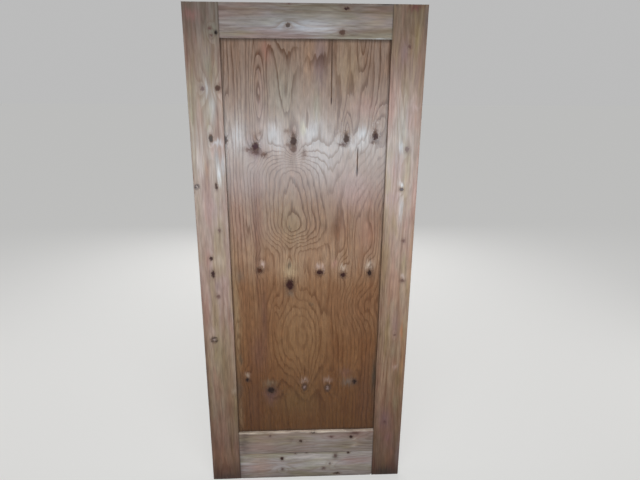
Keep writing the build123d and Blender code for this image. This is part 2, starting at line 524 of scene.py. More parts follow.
def knotted(place, body, knots):
    """The wood colour under the dark heart of each knot, which lets it through here and there."""
    mottle = shaped(grain_noise(place, (240, 240, 240), (1, 8, 3)), 0.48, 0.66)
    solid = scaled(mottle, -0.45, 1.0)
    for knot in knots:
        heart = shaped(spot_distance(place, knot), 1.15, 0.78)
        body = tinted(times(heart, solid), body, knot[4])
    return body


def fine_grain(body, dashes, fibres, pores, shades, pore_share):
    """The wood colour under its fine grain, by the shades of its dashes, fibres and pores."""
    bright, dull, fibre, pore = shades
    body = shaded(body, dashes, 0.50, 0.68, bright)
    body = shaded(body, dashes, 0.50, 0.32, dull)
    body = shaded(body, fibres, 0.35, 0.75, fibre)
    specks = times(shaped(pores, 0.66, 0.74), pore_share)
    return tinted(specks, body, pore, "MULTIPLY")


def new_finish(name):
    """An empty wood finish, its shader and the place on the board."""
    finish = bpy.data.materials.new(name)
    finish.use_nodes = True
    nodes = finish.node_tree.nodes
    return finish, nodes["Principled BSDF"], nodes.new("ShaderNodeTexCoord").outputs["Object"]


def lifted(height, relief):
    """The surface, raised and sunk by a height from 0 to 1 over a relief in metres."""
    return new_node("ShaderNodeBump", {"Distance": relief, "Height": height}).outputs[0]


def feathered(place, fineness, reach):
    """The place on the board, shifted unevenly, so that stains and knots get ragged edges."""
    rough = grain_noise(place, fineness, (2, 5, 8), detail=3.0, output="Color")
    shifted = moved(rough, reach, place)
    return moved(shifted, (1, 1, 1), [-0.5 * length for length in reach])


def peeled_veneer(name, ramps, hills, knots, pale_knots, calm, stains_and_sheen, curls, splits, offset):
    """Varnished rotary-cut pine veneer, with its rings drawn round the given hills and knots."""
    finish, shader, place = new_finish(name)
    across = measured(place, (1, 0, 0))
    up = measured(place, (0, 0, 1))

    # Rings: a height field, whose whole numbers are the ends of the rings
    field = times(grain_noise(place, (6, 0, 0.9), offset), 2.6)
    field = scaled(grain_noise(place, (26, 0, 3.6), offset), 1.5, field)
    field = scaled(grain_noise(place, (90, 0, 9), offset), 0.5, field)
    high = shaped(up, 1.2, 1.6)
    for low_x, high_x, rings, top_share in ramps:
        kept = scaled(high, rings * (top_share - 1), rings)
        reach = shaped(across, low_x * MM, high_x * MM, smooth=False)
        field = scaled(reach, kept, field)
    swirls = [
        (knot_x, knot_z + 2.4 * half_height, 2.2 * half_width, 5.0 * half_height, rings)
        for knot_x, knot_z, half_width, half_height, _, rings in knots + pale_knots
    ]
    for *spot, rings in hills + swirls:
        field = scaled(soft_spot(place, spot), rings, field)

    # Summer wood: the dark end of each ring, faint in places and lower down
    ring = maths("FRACT", field)
    summer = times(shaped(ring, 0.54, 0.90), shaped(ring, 1.0, 0.94))
    strength = grain_noise(place, (14, 0, 3), (3, 7, 1))
    summer = times(summer, shaped(strength, 0.15, 0.60))
    fading = scaled(shaped(up, 0.90, 1.30), 0.34, 0.66)
    summer = times(summer, fading)
    for *spot, share in calm:
        fading = scaled(soft_spot(place, spot), -share, 1.0)
        summer = times(summer, fading)

    # Colour of the clear wood, with its stains, painted sheen and painted shade, and fine grain
    fibres = grain_noise(place, (1000, 0, 22), (0, 0, 0), detail=3.0, roughness=0.6)
    pores = grain_noise(place, (520, 0, 30), (5, 0, 9), detail=1.0)
    streaks = grain_noise(place, (60, 0, 2.2), (2, 0, 4), detail=3.0)
    clouds = grain_noise(place, (11, 0, 5), (7, 0, 1))
    dashes = grain_noise(place, (170, 0, 24), (9, 0, 3))
    body = toned(up, VENEER_TONES)
    body = shaded(body, clouds, 0.38, 0.68, CLOUD_SHADE)
    body = shaded(body, streaks, 0.40, 0.70, STREAK_SHADE)
    ragged = feathered(place, (130, 0, 16), (0.022, 0, 0.070))
    body = stained_and_sheened(ragged, body, stains_and_sheen)
    body = tinted(summer, body, SUMMER_SHADE, "MULTIPLY")
    body = fine_grain(body, dashes, fibres, pores, VENEER_SHADES, 0.5)

    # Curls with painted shade, knots and splits, and the dirt and painted shade along the edges of the
    # opening
    crisp = feathered(place, (120, 0, 120), (0.021, 0, 0.021))
    torn = feathered(place, (230, 0, 170), (0.040, 0, 0.040))
    # Painted shade on the curls of grain beside the upper knots
    curled = 0.0
    for *spot, share in curls:
        curl = times(soft_spot(torn, spot), share)
        curled = maths("MAXIMUM", curl, curled)
    body = tinted(curled, body, CURL_PAINTED_SHADE, "MULTIPLY")
    frayed = nearest_spot(torn, knots)
    body = laid(body, frayed, 2.6, 1.1, 0.60, KNOT_RIM)
    knot = nearest_spot(crisp, knots)
    body = laid(body, knot, 1.4, 1.05, 0.75, KNOT_RIM)
    body = knotted(crisp, body, knots)
    for spot in pale_knots:
        pale = spot_distance(crisp, spot)
        body = laid(body, pale, 2.0, 1.1, 0.9, KNOT_RIM)
        body = tinted(shaped(pale, 0.80, 0.4), body, spot[4])
    cracks = 0.0
    for split_x, low_z, high_z, half_width, _ in splits:
        aside = maths("ABSOLUTE", maths("SUBTRACT", across, split_x * MM))
        gap = shaped(aside, (half_width + 1.6) * MM, 0.4 * half_width * MM)
        gap = times(gap, shaped(up, low_z * MM, (low_z + 16) * MM))
        gap = times(gap, shaped(up, high_z * MM, (high_z - 20) * MM))
        body = tinted(times(gap, 0.95), body, SPLIT_DIRT)
        cracks = maths("MAXIMUM", gap, cracks)
    # Painted shade with dirt: darker along the sides, under the top rail and above the ledge of the opening
    edge = maths("ABSOLUTE", across)
    body = laid(body, edge, (SHOULDER - 11) * MM, SHOULDER * MM, 0.55, EDGE_DIRT_AND_SHADE)
    body = laid(body, up, (TOP_RAIL_LOW - 16) * MM, TOP_RAIL_LOW * MM, 0.55, EDGE_DIRT_AND_SHADE)
    body = laid(body, up, (LEDGE + 17.5) * MM, (LEDGE + 0.5) * MM, 0.60, EDGE_DIRT_AND_SHADE)

    # Varnish, dull on the upper knots, in the splits and on the curls, and the grain raised near knots
    roughness = scaled(grain_noise(place, (26, 0, 9), (4, 4, 4)), 0.20, 0.14)
    bare_knot = times(shaped(knot, 1.4, 1.0), high)
    for dull, share in ((bare_knot, 0.40), (cracks, 0.45), (curled, 0.50), (fibres, 0.08)):
        roughness = scaled(dull, share, roughness)
    near_knot = shaped(knot, 7.0, 1.5)
    raised = times(grain_noise(place, (70, 0, 44), (8, 8, 8)), near_knot)
    height = scaled(fibres, 0.05, times(summer, 0.07))
    normal = lifted(maths("ADD", height, raised), VENEER_RELIEF)
    joined(shader, {"Base Color": body, "Roughness": roughness, "Normal": normal})
    return finish


def sunk_knots(x, z, knots, spread, depth):
    """How far the wood has sunk at a place for the knots near it, all in millimetres."""
    sink = 0.0
    for knot_x, knot_z, half_width, half_height, *_ in knots:
        reach = ((x - knot_x) / (spread * half_width)) ** 2 + ((z - knot_z) / (spread * half_height)) ** 2
        if reach < 6:
            sink += depth * exp(-reach)
    return sink


def work_veneer(net):
    """Ripples the two face veneers round their knots, and opens the splits of the front one."""
    for vert in net.verts:
        if abs(vert.co.y) < (PANEL_FACE - 0.1) * MM:
            continue
        side = -1 if vert.co.y < 0 else 1
        x, z = vert.co.x / MM, vert.co.z / MM
        sink = 0.10 + 0.08 * noise.noise(Vector((x / 60, side, z / 160)))
        knots = FACE_KNOTS + FACE_PALE_KNOTS if side < 0 else BACK_KNOTS
        sink += sunk_knots(x, z, knots, spread=2.4, depth=0.28)
        for split_x, low_z, high_z, half_width, depth in FACE_SPLITS if side < 0 else []:
            narrowing = min(1.0, (z - low_z) / 40, (high_z - z) / 24)
            if abs(x - split_x) < 9 and narrowing > 0:
                if abs(x - split_x) < 0.5 * half_width:
                    sink += depth * narrowing
                vert.co.x += 0.8 * noise.noise(Vector((split_x, 0, z / 45))) * MM
        vert.co.y -= side * sink * MM


def ply_edges():
    """The sawn edges of the sheet: thin layers of pine, the grain of each one across that of the next."""
    finish, shader, place = new_finish("ply_edges")
    depth = measured(place, (0, 1, 0))
    layer = scaled(depth, PLY_COUNT / (4 * PANEL_FACE * MM), 0.25 * PLY_COUNT)
    side = maths("PINGPONG", layer, 0.5)
    fibres = grain_noise(place, (700, 260, 700), (1, 2, 3), detail=3.0)
    body = tinted(shaped(side, 0.22, 0.28), PLY_LIGHT, PLY_DARK)
    body = shaded(body, fibres, 0.3, 0.7, PLY_FIBRE)
    glue = maths("PINGPONG", maths("ADD", layer, 0.25), 0.25)
    body = laid(body, glue, 0.03, 0.0, 0.8, PLY_GLUE)
    normal = lifted(fibres, SAWN_RELIEF)
    joined(shader, {"Base Color": body, "Roughness": 0.75, "Normal": normal})
    return finish


face_veneer = peeled_veneer(
    "face_veneer", FACE_RAMPS, FACE_HILLS, FACE_KNOTS, FACE_PALE_KNOTS, FACE_CALM,
    FACE_STAINS_AND_SHEEN, FACE_CURLS, FACE_SPLITS, offset=(0.3, 0, 0.2),
)
back_veneer = peeled_veneer(
    "back_veneer", BACK_RAMPS, BACK_HILLS, BACK_KNOTS, pale_knots=[], calm=[],
    stains_and_sheen=BACK_STAINS, curls=[], splits=[], offset=(5.3, 0, 7.2),
)
panel_net = board_net("panel")
divide_runs(panel_net, UP, PANEL_SPACING)
divide_runs(panel_net, ACROSS, PANEL_SPACING)
for split_x, _, _, half_width, _ in FACE_SPLITS:
    cut_at(panel_net, ACROSS, [(split_x + step * half_width) * MM for step in (-1.0, -0.3, 0.3, 1.0)])
work_veneer(panel_net)
for face in panel_net.faces:
    middle = face.calc_center_median().y
    if abs(middle) > (PANEL_FACE - 1) * MM:
        face.material_index = 0 if middle < 0 else 1
    else:
        face.material_index = 2
panel_finishes = [face_veneer, back_veneer, ply_edges()]
finished_board(panel_net, "veneered_panel", "panel", panel_finishes)


# The stiles: two full-height pine boards, planed and varnished, with a groove in the inner edge for the
# panel and the rails' stub tenons. Each is held to the rails by two dowels at every board. Their outer
# arrises are rubbed, and their feet are darker, with dirt and painted shade. Their tops are darkened by
# painted shade, and pale patches of painted sheen lie on their varnish.
BOARD_SPACING = 5.0 * MM
# In millimetres: half width, half thickness and height of the leaf, half width and depth of the groove,
# the first cut beside each arris, and how far and how wide an arris is worn
HALF_WIDTH, HALF_THICKNESS, HEIGHT = map(in_mm, cad_box[1])
GROOVE_HALF_WIDTH, GROOVE_DEPTH = 9.25, 12
ARRIS_CUT, WEAR_REACH, WEAR_WIDTH = 2.5, 6, 2.5
# Width of the pine's rings, how far its pith wanders sideways and inwards, and height of its grain
RING_WIDTH, PITH_SWAY, PITH_LEAN, PINE_RELIEF = 4.6 * MM, 60 * MM, 50 * MM, 0.12 * MM
# Colours up the left and the right stile, at shares of two metres: the darker tops are painted shade, and
# the darker feet are dirt and painted shade.
LEFT_TONES = [
    (0.010, (0.150, 0.085, 0.062)),
    (0.075, (0.235, 0.148, 0.112)),
    (0.160, (0.297, 0.208, 0.150)),
    (0.300, (0.372, 0.268, 0.198)),
    (0.475, (0.405, 0.290, 0.252)),
    (0.680, (0.382, 0.294, 0.248)),
    (0.750, (0.420, 0.350, 0.304)),
    (0.825, (0.412, 0.348, 0.288)),
    (0.900, (0.336, 0.252, 0.209)),
    (0.970, (0.200, 0.166, 0.140)),
]
RIGHT_TONES = [
    (0.010, (0.140, 0.072, 0.050)),
    (0.075, (0.230, 0.139, 0.103)),
    (0.160, (0.264, 0.158, 0.103)),
    (0.225, (0.318, 0.205, 0.134)),
    (0.300, (0.332, 0.217, 0.145)),
    (0.450, (0.384, 0.278, 0.203)),
    (0.600, (0.424, 0.303, 0.250)),
    (0.675, (0.472, 0.358, 0.310)),
    (0.750, (0.428, 0.342, 0.298)),
    (0.825, (0.426, 0.311, 0.263)),
    (0.900, (0.330, 0.227, 0.182)),
    (0.970, (0.242, 0.178, 0.131)),
]
# Knots of the stiles: across, up, half width, half height, heart. The faint ones are thin or lie under the
# varnish, and the ring knots kept a pale heart.
LEFT_KNOTS = [
    (-370, 1065, 6, 7, OXBLOOD),
    (-366, 999, 6, 13, OXBLOOD),
    (-335, 1350, 4, 10, DUSK_BROWN),
    (-345, 1528, 6, 11, DRY_GREY),
    (-311, 1703, 7, 8, FOX_BROWN),
]
LEFT_FAINT_KNOTS = [
    (-351, 903, 8, 9),
    (-332, 1178, 6, 8),
    (-364, 1701, 8, 9),
    (-328, 1898, 6, 5),
    (-324, 1876, 6, 4),
]
LEFT_RING_KNOTS = [
    (-378, 709, 12, 12),
    (-406, 1350, 8, 9),
]
RIGHT_KNOTS = [
    (360, 1337, 6, 5, ASH_GREY),
]
RIGHT_FAINT_KNOTS = [
    (372, 1488, 9, 13),
    (379, 1130, 6, 8),
    (385, 962, 9, 8),
    (345, 287, 7, 8),
    (360, 1845, 6, 7),
    (367, 718, 3, 4),
]
ORANGE_WOOD = (0.48, 0.25, 0.12)
PINK_WOOD = (0.40, 0.27, 0.26)
OLIVE_WOOD = (0.25, 0.20, 0.11)
GREEN_GREY = (0.22, 0.22, 0.17)
# Dark stains at the ends of the rail boards, and dirt with painted shade at the feet
DARK_STAIN_AND_SHADE = (0.075, 0.050, 0.042)
SEAM_DIRT = (0.030, 0.016, 0.012)
KNOT_HALO, FAINT_KNOT = (0.17, 0.095, 0.060), (0.105, 0.040, 0.034)
RING_KNOT, RING_HEART = (0.036, 0.013, 0.010), (0.36, 0.27, 0.24)
BLUSH_SHADE, OLIVE_SHADE = (1.0, 0.86, 0.86), (0.92, 0.95, 0.78)
PINE_STREAK, PINE_BAND, PINE_SUMMER = (0.82, 0.74, 0.67), (0.80, 0.74, 0.70), (0.70, 0.56, 0.46)
# Shades of the pine's fine grain: bright dashes, dull dashes, fibres, pores
PINE_SHADES = [(1.15, 1.14, 1.12), (0.86, 0.84, 0.83), (0.90, 0.86, 0.82), (0.6, 0.5, 0.42)]
# The open knot in the left stile: across, up, half width, half height. The dark of the joints, laid on it
# three times over, is painted shade in its hole.
OPEN_KNOT = (-307.5, 1885, 5.5, 7)
# Stains, worn places, painted sheen and painted shade of the stiles: across, up, half width, half height,
# colour, strength
LEFT_STAINS_AND_SHEEN = [
    # Painted sheen: the pale blue, grey and white patches are the varnish's reflection of the front lamp,
    # laid into the colour
    (-348, 1697, 12, 26, PAINTED_SHEEN, 0.50),
    (-330, 1640, 12, 50, PAINTED_SHEEN, 0.40),
    (-322, 1512, 18, 9, PAINTED_SHEEN, 0.65),
    (-326, 1450, 8, 50, (0.36, 0.37, 0.38), 0.50),
    (-306, 1440, 5, 40, PAINTED_SHEEN, 0.55),
    (-322, 1395, 8, 34, (0.72, 0.74, 0.78), 0.75),
    (-390, 1440, 14, 60, (0.52, 0.44, 0.42), 0.50),
    (-366, 1415, 8, 30, ORANGE_WOOD, 0.35),
    (-390, 1940, 28, 18, (0.29, 0.135, 0.125), 0.60),
    (-343, 1817, 10, 14, (0.22, 0.16, 0.15), 0.45),
    (-345, 1780, 18, 40, GREEN_GREY, 0.50),
    (-318, 1890, 20, 24, GREEN_GREY, 0.55),
    (-405, 1700, 14, 40, (0.36, 0.30, 0.18), 0.45),
    (-365, 1270, 30, 60, PINK_WOOD, 0.50),
    (-400, 1240, 16, 260, PALE_WOOD, 0.25),
    (-345, 1055, 16, 24, PALE_WOOD, 0.35),
    (-352, 945, 10, 30, (0.28, 0.19, 0.19), 0.45),
    (-379, 742, 16, 26, PALE_PINK, 0.35),
    (-310, 466, 7, 18, PALE_WOOD, 0.60),
    (-350, 590, 34, 150, OLIVE_WOOD, 0.45),
    (-318, 420, 14, 170, (0.26, 0.145, 0.075), 0.45),
    # Painted shade along the rounded outer arris
    (-419, 560, 7, 320, (0.085, 0.050, 0.050), 0.60),
    (-360, 120, 60, 70, ORANGE_WOOD, 0.20),
    # Dirt and painted shade at the foot
    (-360, 8, 80, 20, DARK_STAIN_AND_SHADE, 0.65),
]
RIGHT_STAINS_AND_SHEEN = [
    # Painted sheen: the pale blue and white patches are the varnish's reflection of the front lamp, laid
    # into the colour
    (349, 1499, 9, 18, PAINTED_SHEEN, 0.80),
    (359, 1357, 8, 12, (0.74, 0.75, 0.78), 0.90),
    (363, 1262, 8, 52, PAINTED_SHEEN, 0.50),
    (350, 1560, 22, 120, PAINTED_SHEEN, 0.30),
    (392, 1640, 14, 10, (0.52, 0.38, 0.35), 0.60),
    (325, 1306, 34, 20, PINK_WOOD, 0.60),
    (340, 1430, 26, 60, PINK_WOOD, 0.40),
    (383, 982, 8, 9, (0.60, 0.47, 0.43), 0.75),
    (388, 1040, 10, 36, (0.30, 0.24, 0.12), 0.60),
    (412, 1060, 6, 160, ORANGE_WOOD, 0.40),
    (320, 1000, 10, 240, (0.30, 0.19, 0.13), 0.35),
    (394, 745, 5, 52, (0.46, 0.19, 0.09), 0.70),
    (405, 590, 6, 90, ORANGE_WOOD, 0.55),
    (366, 760, 14, 66, (0.30, 0.19, 0.19), 0.55),
    (366, 640, 14, 40, (0.33, 0.28, 0.19), 0.45),
    (377, 567, 9, 12, PALE_PINK, 0.50),
    (344, 300, 26, 50, (0.20, 0.115, 0.13), 0.60),
    (388, 385, 16, 44, OLIVE_WOOD, 0.50),
    (303, 640, 6, 420, (0.12, 0.055, 0.032), 0.50),
    (385, 1862, 12, 66, (0.35, 0.27, 0.11), 0.50),
    (343, 1825, 12, 34, (0.30, 0.205, 0.215), 0.60),
    (372, 1974, 26, 12, (0.15, 0.045, 0.045), 0.85),
    (303, 1981, 18, 6, (0.07, 0.055, 0.050), 0.70),
    (414, 1930, 6, 40, (0.15, 0.12, 0.13), 0.60),
    (366, 205, 16, 22, (0.27, 0.13, 0.13), 0.50),
    (364, 95, 22, 50, (0.26, 0.135, 0.070), 0.50),
    (325, 120, 18, 100, (0.17, 0.12, 0.06), 0.40),
    (412, 110, 10, 70, (0.21, 0.16, 0.17), 0.50),
    # Dirt and painted shade at the foot
    (360, 6, 80, 30, (0.060, 0.042, 0.034), 0.85),
]


def sawn_pine(name, tones, knots, faint_knots, ring_knots, stains_and_sheen, dark_joints_and_hole, upright, pith, offset):
    """Varnished solid pine: rings round a pith behind the board, knots right through it, and its stains."""
    finish, shader, place = new_finish(name)
    across = measured(place, (1, 0, 0) if upright else (0, 0, 1))
    depth = measured(place, (0, 1, 0))

    def stretched(fine, long):
        return (fine, fine, long) if upright else (long, fine, fine)

    # Rings: distance from a pith that wanders along the board, pushed out round the knots
    sway = grain_noise(place, stretched(2.0, 1.3), offset)
    lean = grain_noise(place, stretched(2.0, 1.0), (offset[2], 4, offset[0]))
    sideways = scaled(sway, PITH_SWAY, -0.5 * PITH_SWAY - pith[0] * MM)
    sideways = maths("ADD", sideways, across)
    inwards = scaled(lean, PITH_LEAN, -0.5 * PITH_LEAN - pith[1] * MM)
    inwards = maths("ADD", inwards, depth)
    square = scaled(sideways, sideways, times(inwards, inwards))
    field = times(maths("SQRT", square), 1 / RING_WIDTH)
    ripple = grain_noise(place, stretched(45, 7), offset, detail=3.0)
    field = scaled(ripple, 1.0, field)
    wider, taller = (2.4, 5.0) if upright else (5.0, 2.4)
    for knot_x, knot_z, half_width, half_height, *_ in knots + faint_knots + ring_knots:
        swirl = (knot_x, knot_z, wider * half_width, taller * half_height)
        field = scaled(soft_spot(place, swirl), 1.5, field)
    ring = maths("FRACT", field)
    summer = times(shaped(ring, 0.35, 0.88), shaped(ring, 1.0, 0.92))
    strength = grain_noise(place, stretched(12, 2), (3, 7, 1))
    summer = times(summer, shaped(strength, 0.25, 0.80))

    # Colour of the clear wood, with its stains, painted sheen and painted shade, which show on the front
    # alone, and fine grain
    fibres = grain_noise(place, stretched(900, 20), (0, 0, 0), detail=3.0, roughness=0.6)
    ducts = grain_noise(place, stretched(480, 28), (5, 2, 9), detail=1.0)
    streaks = grain_noise(place, stretched(34, 1.4), (offset[0], 1, 4))
    bands = grain_noise(place, stretched(95, 4.0), (4, 2, offset[2]), detail=3.0)
    blush = grain_noise(place, stretched(24, 4.5), (offset[2], 6, 3))
    dashes = grain_noise(place, stretched(170, 20), (9, 4, 3))
    body = toned(measured(place, (0, 0, 1)), tones)
    body = shaded(body, blush, 0.50, 0.66, BLUSH_SHADE)
    body = shaded(body, blush, 0.50, 0.34, OLIVE_SHADE)
    body = shaded(body, streaks, 0.45, 0.72, PINE_STREAK)
    body = shaded(body, bands, 0.44, 0.68, PINE_BAND)
    front = shaped(depth, 0.004, -0.004)
    shift = (0.022, 0, 0.060) if upright else (0.060, 0, 0.022)
    ragged = feathered(place, stretched(130, 16), shift)
    body = stained_and_sheened(ragged, body, stains_and_sheen, front)
    body = tinted(times(summer, 0.70), body, PINE_SUMMER, "MULTIPLY")
    body = fine_grain(body, dashes, fibres, ducts, PINE_SHADES, 0.45)

    # Knots, the dirt in the joints, and painted shade in the open knot
    crisp = feathered(place, (140, 140, 140), (0.012, 0, 0.012))
    knot = nearest_spot(crisp, knots)
    body = laid(body, knot, 3.0, 1.2, 0.40, KNOT_HALO)
    body = laid(body, knot, 1.6, 1.05, 0.80, KNOT_RIM)
    body = knotted(crisp, body, knots)
    if faint_knots:
        faint = nearest_spot(crisp, faint_knots)
        body = laid(body, faint, 2.4, 0.8, 0.30, FAINT_KNOT)
        body = laid(body, faint, 1.2, 0.4, 0.75, FAINT_KNOT)
    if ring_knots:
        broken = shaped(grain_noise(place, (110, 110, 110), (6, 1, 2)), 0.36, 0.56)
        rings = nearest_spot(crisp, ring_knots)
        rind = shaped(rings, 1.65, 0.9)
        unbroken = scaled(broken, 0.50, 0.45)
        body = tinted(times(rind, unbroken), body, RING_KNOT)
        body = laid(body, rings, 0.65, 0.2, 0.80, RING_HEART)
    for dark_place in dark_joints_and_hole:
        body = tinted(times(soft_spot(place, dark_place), 0.65), body, SEAM_DIRT)

    # Varnish, dull on the knots, and the height of the grain
    roughness = scaled(grain_noise(place, stretched(40, 6), (4, 4, 4)), 0.18, 0.27)
    roughness = scaled(shaped(knot, 1.5, 1.0), 0.35, roughness)
    roughness = scaled(fibres, 0.08, roughness)
    height = scaled(fibres, 0.35, times(summer, 0.4))
    normal = lifted(height, PINE_RELIEF)
    joined(shader, {"Base Color": body, "Roughness": roughness, "Normal": normal})
    return finish


def ripple_faces(net, knots, seed):
    """Works the two planed faces by hand: a slight ripple, with each knot a little sunk."""
    cut_at(net, THROUGH, [(ARRIS_CUT - HALF_THICKNESS) * MM, (HALF_THICKNESS - ARRIS_CUT) * MM])
    divide_runs(net, THROUGH, BOARD_SPACING)
    for vert in net.verts:
        if abs(vert.co.y) < (HALF_THICKNESS - 0.05) * MM:
            continue
        side = -1 if vert.co.y < 0 else 1
        x, z = vert.co.x / MM, vert.co.z / MM
        sink = 0.12 + 0.10 * noise.noise(Vector((x / 50, seed + side, z / 130)))
        sink += sunk_knots(x, z, knots, spread=1.8, depth=0.35)
        vert.co.y -= side * sink * MM


def wear_arris(net, start, end, inward, rub, seed):
    """Rubs down and nicks the wood along one arris, from start to end in millimetres."""
    start, end, inward = Vector(start) * MM, Vector(end) * MM, Vector(inward).normalized()
    run = end - start
    length = run.length
    run.normalize()
    reach = Vector((WEAR_REACH, WEAR_REACH, WEAR_REACH)) * MM
    low = Vector(map(min, start, end)) - reach
    high = Vector(map(max, start, end)) + reach
    for vert in net.verts:
        x, y, z = vert.co
        if not (low.x < x < high.x and low.y < y < high.y and low.z < z < high.z):
            continue
        along = (vert.co - start).dot(run)
        if along < -MM or along > length + MM:
            continue
        away = (vert.co - start - run * along).length
        if away > WEAR_REACH * MM:
            continue
        step = along / MM
        slow = max(0.0, noise.noise(Vector((step / 80, seed, 0))))
        nick = max(0.0, noise.noise(Vector((step / 13, seed, 9))) - 0.38)
        depth = rub * (0.35 + 1.1 * slow + 4.0 * nick)
        vert.co += inward * depth * MM * exp(-((away / (WEAR_WIDTH * MM)) ** 2))


def stile_net(node_name, side, knots, seed):
    """One stile, side -1 on the left and 1 on the right, with its faces and arrises worked."""
    net = board_net(node_name)
    cut_at(net, THROUGH, [-GROOVE_HALF_WIDTH * MM, GROOVE_HALF_WIDTH * MM])
    cut_at(net, ACROSS, [side * (SHOULDER + GROOVE_DEPTH) * MM])
    cut_at(net, UP, even_steps(0.0, LEDGE * MM, BOARD_SPACING))
    cut_at(net, UP, even_steps(TOP_RAIL_LOW * MM, HEIGHT * MM, BOARD_SPACING))
    divide_runs(net, UP, BOARD_SPACING)
    cut_at(net, ACROSS, [side * (HALF_WIDTH - ARRIS_CUT) * MM, side * (SHOULDER + ARRIS_CUT) * MM])
    divide_runs(net, ACROSS, BOARD_SPACING)
    ripple_faces(net, knots, seed)
    outer, inner = side * HALF_WIDTH, side * SHOULDER
    for face in (-1, 1):
        front = face * HALF_THICKNESS
        # Arrises: from across and up, to across and up, way in, rub, step of the seed
        for from_x, from_z, to_x, to_z, inward, rub, step in (
            (outer, 0, outer, HEIGHT, (-side, -face, 0), 0.8, 0),
            (inner, LEDGE + 1.5, inner, TOP_RAIL_LOW - 2, (side, -face, 0), 0.3, 4),
            (inner, 0, inner, LEDGE - 0.5, (0, -face, 0), 0.5, 8),
            (inner, TOP_RAIL_LOW, inner, HEIGHT, (0, -face, 0), 0.5, 8),
            (outer, 0, inner, 0, (0, -face, 1), 0.8, 12),
            (outer, HEIGHT, inner, HEIGHT, (0, -face, -1), 0.6, 16),
        ):
            wear_arris(net, (from_x, front, from_z), (to_x, front, to_z), inward, rub, seed + step + face)
    return net


def joint_seams(side):
    """Dirt in the joints of one stile with the rails: across, up, half width, half height."""
    return [(side * SHOULDER, 90, 2.4, 200), (side * SHOULDER, 1930, 2.0, 66)]


left_pine = sawn_pine(
    "left_stile_pine", LEFT_TONES, LEFT_KNOTS, LEFT_FAINT_KNOTS, LEFT_RING_KNOTS, LEFT_STAINS_AND_SHEEN,
    joint_seams(-1) + [OPEN_KNOT] * 3, upright=True, pith=(-352, 95), offset=(1.3, 0.0, 2.1),
)
right_pine = sawn_pine(
    "right_stile_pine", RIGHT_TONES, RIGHT_KNOTS, RIGHT_FAINT_KNOTS, [], RIGHT_STAINS_AND_SHEEN,
    joint_seams(1), upright=True, pith=(372, 80), offset=(6.2, 0.0, 4.7),
)
left_net = stile_net("left_stile", -1, LEFT_KNOTS + LEFT_RING_KNOTS, 3)
finished_board(left_net, "left_stile_board", "left_stile", [left_pine])
right_net = stile_net("right_stile", 1, RIGHT_KNOTS + RIGHT_FAINT_KNOTS, 33)
finished_board(right_net, "right_stile_board", "right_stile", [right_pine])


# The top rail: one pine board between the stiles, grooved below for the panel. Stub tenons on its ends
# fill the stiles' groove, and two dowels hold each end. A length of bark edge is missing from its top.
# Colours up the top rail, at shares of two metres: the darker top edge is painted shade
TOP_RAIL_TONES = [
    (0.930, (0.292, 0.250, 0.234)),
    (0.955, (0.310, 0.273, 0.266)),
    (0.985, (0.235, 0.196, 0.178)),
]
TOP_RAIL_KNOTS = [
    (-62, 1910, 6, 6, DRY_GREY),
    (123, 1889, 8, 7, FOX_BROWN),
    (137, 1965, 8, 5, OXBLOOD),
]
TOP_RAIL_FAINT_KNOTS = [
    (-60, 1981, 8, 5),
]
# Stains of the top rail, with painted sheen and a painted highlight: across, up, half width, half height,
# colour, strength
TOP_RAIL_STAINS_AND_SHEEN = [
    # Painted sheen: the pale blue, white and grey patches across the middle of the rail
    (-5, 1908, 105, 20, (0.54, 0.57, 0.64), 0.62),
    (30, 1896, 70, 9, (0.66, 0.68, 0.74), 0.50),
    (120, 1906, 30, 14, (0.40, 0.30, 0.28), 0.25),
    (80, 1930, 60, 26, (0.52, 0.50, 0.53), 0.25),
    (-90, 1925, 120, 36, (0.38, 0.41, 0.52), 0.20),
    (140, 1970, 30, 10, (0.20, 0.15, 0.13), 0.35),
    (-200, 1950, 60, 20, OLIVE_WOOD, 0.30),
    (250, 1930, 50, 40, ORANGE_WOOD, 0.15),
    (-230, 1882, 60, 8, (0.33, 0.27, 0.14), 0.45),
    # Painted highlight along the lower arris
    (250, 1870, 60, 2.5, PAINTED_SHEEN, 0.60),
    (275, 1980, 34, 6, (0.070, 0.055, 0.050), 0.80),
]
# Heights of the dowels in the top rail's ends, and the length of a rail's end that their bores take up
TOP_RAIL_DOWELS = (1908, 1953)
BORED_LENGTH = 65


def rail_net(node_name, low, high, dowel_heights, knots, seed, low_rub, high_rub):
    """One rail board between the heights low and high, with its faces and arrises worked."""
    net = board_net(node_name)
    end, bored = SHOULDER * MM, (SHOULDER - BORED_LENGTH) * MM
    beside_end = (SHOULDER - ARRIS_CUT) * MM
    cut_at(net, THROUGH, [0.0])
    cut_at(net, UP, [height * MM for height in dowel_heights])
    cut_at(net, ACROSS, even_steps(-end, -bored, BOARD_SPACING) + even_steps(bored, end, BOARD_SPACING))
    cut_at(net, ACROSS, [-beside_end, -bored, bored, beside_end])
    divide_runs(net, ACROSS, BOARD_SPACING)
    cut_at(net, UP, [(low + ARRIS_CUT) * MM, (high - ARRIS_CUT) * MM])
    divide_runs(net, UP, BOARD_SPACING)
    ripple_faces(net, knots, seed)
    for face in (-1, 1):
        front = face * HALF_THICKNESS
        for x in (-SHOULDER, SHOULDER):
            wear_arris(net, (x, front, low), (x, front, high), (0, -face, 0), 0.5, seed + 20 + face)
        for z, up, rub in ((low, 1, low_rub), (high, -1, high_rub)):
            left, right = (-SHOULDER, front, z), (SHOULDER, front, z)
            wear_arris(net, left, right, (0, -face, up), rub, seed + up + face)
    return net


def end_seams(height, half_height):
    """Dirt in the joints at both ends of a rail board: across, up, half width, half height."""
    return [(-SHOULDER, height, 2.4, half_height), (SHOULDER, height, 2.4, half_height)]


